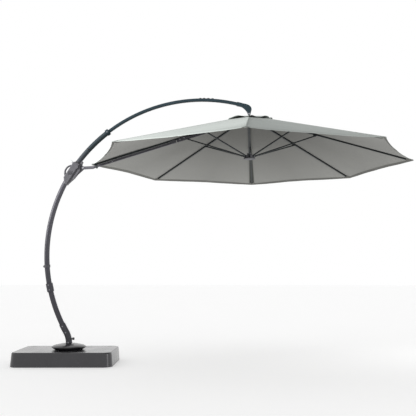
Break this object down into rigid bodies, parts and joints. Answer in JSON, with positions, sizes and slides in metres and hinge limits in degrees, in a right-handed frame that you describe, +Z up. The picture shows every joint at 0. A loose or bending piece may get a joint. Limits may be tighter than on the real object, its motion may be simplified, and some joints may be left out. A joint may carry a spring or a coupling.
{
  "type": "cantilever parasol",
  "caption": "Side-post garden parasol: octagonal canopy hung from a curved mast and boom, folded by a sliding handle, on a swivelling filled base.",
  "frame": {"origin": "on the floor, on the swivel axis of the mast, at the middle of the base's centre pad", "axes": "+Z up; +X from the mast towards the canopy's centre; Y across the mast"},
  "size_m": [3.6825, 3, 2.478],
  "materials": {
    "base_plastic": "moulded charcoal plastic with a fine grain",
    "ballast": "dry sand fill",
    "foot_rubber": "matt black rubber",
    "frame_paint": "charcoal powder coat, fine texture",
    "arm_paint": "grey powder coat",
    "rib_paint": "dark powder coat",
    "boom_paint": "dark blue-grey powder coat",
    "fittings_plastic": "dark moulded plastic",
    "bearing_plastic": "black nylon",
    "bright_steel": "zinc-plated steel",
    "light_alloy": "plain aluminium",
    "canopy_cloth": "woven grey canopy cloth"
  },
  "bodies": {
    "base": {"base_tank": "base_plastic", "base_ballast": "ballast", "base_feet": "foot_rubber", "fill_caps": "base_plastic", "swivel_bush": "bearing_plastic"},
    "mast": {"swivel_spindle": "bright_steel", "dome_cover": "base_plastic", "mast_foot": "frame_paint", "lower_mast": "frame_paint", "joint_sleeve": "frame_paint", "upper_mast": "frame_paint", "stop_ring": "fittings_plastic", "mast_screws": "bright_steel", "boom_collar": "boom_paint", "boom": "boom_paint", "boom_elbow": "boom_paint", "tilt_pin": "bright_steel"},
    "foot_knob": {"clamp_knob": "fittings_plastic"},
    "carriage": {"carriage_front_shell": "fittings_plastic", "carriage_back_shell": "fittings_plastic", "mast_liners": "bearing_plastic", "loop_handle": "fittings_plastic", "arm_pin": "bright_steel"},
    "lever": {"release_lever": "light_alloy"},
    "arm": {"support_arm": "arm_paint", "arm_knuckle": "arm_paint", "slide_shoe": "fittings_plastic"},
    "crown": {"crown_hub": "fittings_plastic", "crown_pins": "bright_steel", "vent_cap": "canopy_cloth"},
    "rib_1_body": {"rib_1": "rib_paint", "tip_loop": "rib_paint", "canopy_panel_1": "canopy_cloth"},
    "rib_2_body": {"rib_2": "rib_paint", "canopy_panel_2": "canopy_cloth"},
    "rib_3_body": {"rib_3": "rib_paint", "canopy_panel_3": "canopy_cloth"},
    "rib_4_body": {"rib_4": "rib_paint", "canopy_panel_4": "canopy_cloth"},
    "rib_5_body": {"rib_5": "rib_paint", "canopy_panel_5": "canopy_cloth"},
    "rib_6_body": {"rib_6": "rib_paint", "canopy_panel_6": "canopy_cloth"},
    "rib_7_body": {"rib_7": "rib_paint", "canopy_panel_7": "canopy_cloth"},
    "rib_8_body": {"rib_8": "rib_paint", "canopy_panel_8": "canopy_cloth"},
    "strut_1_body": {"strut_1": "rib_paint"},
    "strut_2_body": {"strut_2": "rib_paint"},
    "strut_3_body": {"strut_3": "rib_paint"},
    "strut_4_body": {"strut_4": "rib_paint"},
    "strut_5_body": {"strut_5": "rib_paint"},
    "strut_6_body": {"strut_6": "rib_paint"},
    "strut_7_body": {"strut_7": "rib_paint"},
    "strut_8_body": {"strut_8": "rib_paint"},
    "runner": {"runner_hub": "fittings_plastic", "runner_disc": "fittings_plastic"}
  },
  "joints": [
    {"name": "mast_swivel", "type": "hinge", "parent": "base", "child": "mast", "pos_m": [0, 0, 0.13], "axis": [0, 0, 1], "continuous": true},
    {"name": "foot_knob_turn", "type": "hinge", "parent": "mast", "child": "foot_knob", "pos_m": [0.031, 0, 0.229], "axis": [1, 0, 0], "range_deg": [-180, 180]},
    {"name": "handle_slide", "type": "hinge", "parent": "mast", "child": "carriage", "pos_m": [1.21, 0, 1.024], "axis": [0, -1, 0], "range_deg": [0, 30]},
    {"name": "lever_squeeze", "type": "hinge", "parent": "carriage", "child": "lever", "pos_m": [0.00238, 0, 1.88108], "axis": [0, -1, 0], "range_deg": [0, 15], "stiffness_Nm_per_rad": 0.6, "springref_deg": -17.19},
    {"name": "arm_pivot", "type": "hinge", "parent": "carriage", "child": "arm", "pos_m": [0.103, 0, 1.828], "axis": [0, -1, 0], "range_deg": [-13.6, 0]},
    {"name": "crown_tilt", "type": "hinge", "parent": "mast", "child": "crown", "pos_m": [1.68, 0, 2.318], "axis": [0, 1, 0], "range_deg": [0, 45.5]},
    {"name": "rib_1_fold", "type": "hinge", "parent": "crown", "child": "rib_1_body", "pos_m": [1.644, 0, 2.284], "axis": [0, -1, 0], "range_deg": [0, 62.01], "deforming": ["canopy_panel_1", "vent_cap"]},
    {"name": "strut_1_fold", "type": "hinge", "parent": "rib_1_body", "child": "strut_1_body", "pos_m": [1.07297, 0, 2.09921], "axis": [0, -1, 0], "range_deg": [-124.02, 0]},
    {"name": "runner_level", "type": "hinge", "parent": "strut_1_body", "child": "runner", "pos_m": [1.644, 0, 1.91442], "axis": [0, -1, 0], "range_deg": [0, 62.01]},
    {"name": "rib_2_fold", "type": "hinge", "parent": "crown", "child": "rib_2_body", "pos_m": [1.65454, -0.02546, 2.284], "axis": [0.7071, -0.7071, 0], "range_deg": [0, 62.01], "deforming": ["canopy_panel_2"]},
    {"name": "strut_2_fold", "type": "hinge", "parent": "rib_2_body", "child": "strut_2_body", "pos_m": [1.25076, -0.42924, 2.09921], "axis": [0.7071, -0.7071, 0], "range_deg": [-124.02, 0]},
    {"name": "rib_3_fold", "type": "hinge", "parent": "crown", "child": "rib_3_body", "pos_m": [1.68, -0.036, 2.284], "axis": [1, 0, 0], "range_deg": [0, 62.01], "deforming": ["canopy_panel_3"]},
    {"name": "strut_3_fold", "type": "hinge", "parent": "rib_3_body", "child": "strut_3_body", "pos_m": [1.68, -0.60703, 2.09921], "axis": [1, 0, 0], "range_deg": [-124.02, 0]},
    {"name": "rib_4_fold", "type": "hinge", "parent": "crown", "child": "rib_4_body", "pos_m": [1.70546, -0.02546, 2.284], "axis": [0.7071, 0.7071, 0], "range_deg": [0, 62.01], "deforming": ["canopy_panel_4"]},
    {"name": "strut_4_fold", "type": "hinge", "parent": "rib_4_body", "child": "strut_4_body", "pos_m": [2.10924, -0.42924, 2.09921], "axis": [0.7071, 0.7071, 0], "range_deg": [-124.02, 0]},
    {"name": "rib_5_fold", "type": "hinge", "parent": "crown", "child": "rib_5_body", "pos_m": [1.716, 0, 2.284], "axis": [0, 1, 0], "range_deg": [0, 62.01], "deforming": ["canopy_panel_5"]},
    {"name": "strut_5_fold", "type": "hinge", "parent": "rib_5_body", "child": "strut_5_body", "pos_m": [2.28703, 0, 2.09921], "axis": [0, 1, 0], "range_deg": [-124.02, 0]},
    {"name": "rib_6_fold", "type": "hinge", "parent": "crown", "child": "rib_6_body", "pos_m": [1.70546, 0.02546, 2.284], "axis": [-0.7071, 0.7071, 0], "range_deg": [0, 62.01], "deforming": ["canopy_panel_6"]},
    {"name": "strut_6_fold", "type": "hinge", "parent": "rib_6_body", "child": "strut_6_body", "pos_m": [2.10924, 0.42924, 2.09921], "axis": [-0.7071, 0.7071, 0], "range_deg": [-124.02, 0]},
    {"name": "rib_7_fold", "type": "hinge", "parent": "crown", "child": "rib_7_body", "pos_m": [1.68, 0.036, 2.284], "axis": [-1, 0, 0], "range_deg": [0, 62.01], "deforming": ["canopy_panel_7"]},
    {"name": "strut_7_fold", "type": "hinge", "parent": "rib_7_body", "child": "strut_7_body", "pos_m": [1.68, 0.60703, 2.09921], "axis": [-1, 0, 0], "range_deg": [-124.02, 0]},
    {"name": "rib_8_fold", "type": "hinge", "parent": "crown", "child": "rib_8_body", "pos_m": [1.65454, 0.02546, 2.284], "axis": [-0.7071, -0.7071, 0], "range_deg": [0, 62.01], "deforming": ["canopy_panel_8"]},
    {"name": "strut_8_fold", "type": "hinge", "parent": "rib_8_body", "child": "strut_8_body", "pos_m": [1.25076, 0.42924, 2.09921], "axis": [-0.7071, -0.7071, 0], "range_deg": [-124.02, 0]}
  ],
  "couplings": [
    {"joint": "arm_pivot", "follows": "handle_slide", "ratio": -0.4502},
    {"joint": "crown_tilt", "follows": "handle_slide", "ratio": 1.515},
    {"joint": "rib_1_fold", "follows": "handle_slide", "ratio": 2.0667},
    {"joint": "strut_1_fold", "follows": "handle_slide", "ratio": -4.1333},
    {"joint": "runner_level", "follows": "handle_slide", "ratio": 2.0667},
    {"joint": "rib_2_fold", "follows": "handle_slide", "ratio": 2.0667},
    {"joint": "strut_2_fold", "follows": "handle_slide", "ratio": -4.1333},
    {"joint": "rib_3_fold", "follows": "handle_slide", "ratio": 2.0667},
    {"joint": "strut_3_fold", "follows": "handle_slide", "ratio": -4.1333},
    {"joint": "rib_4_fold", "follows": "handle_slide", "ratio": 2.0667},
    {"joint": "strut_4_fold", "follows": "handle_slide", "ratio": -4.1333},
    {"joint": "rib_5_fold", "follows": "handle_slide", "ratio": 2.0667},
    {"joint": "strut_5_fold", "follows": "handle_slide", "ratio": -4.1333},
    {"joint": "rib_6_fold", "follows": "handle_slide", "ratio": 2.0667},
    {"joint": "strut_6_fold", "follows": "handle_slide", "ratio": -4.1333},
    {"joint": "rib_7_fold", "follows": "handle_slide", "ratio": 2.0667},
    {"joint": "strut_7_fold", "follows": "handle_slide", "ratio": -4.1333},
    {"joint": "rib_8_fold", "follows": "handle_slide", "ratio": 2.0667},
    {"joint": "strut_8_fold", "follows": "handle_slide", "ratio": -4.1333}
  ]
}
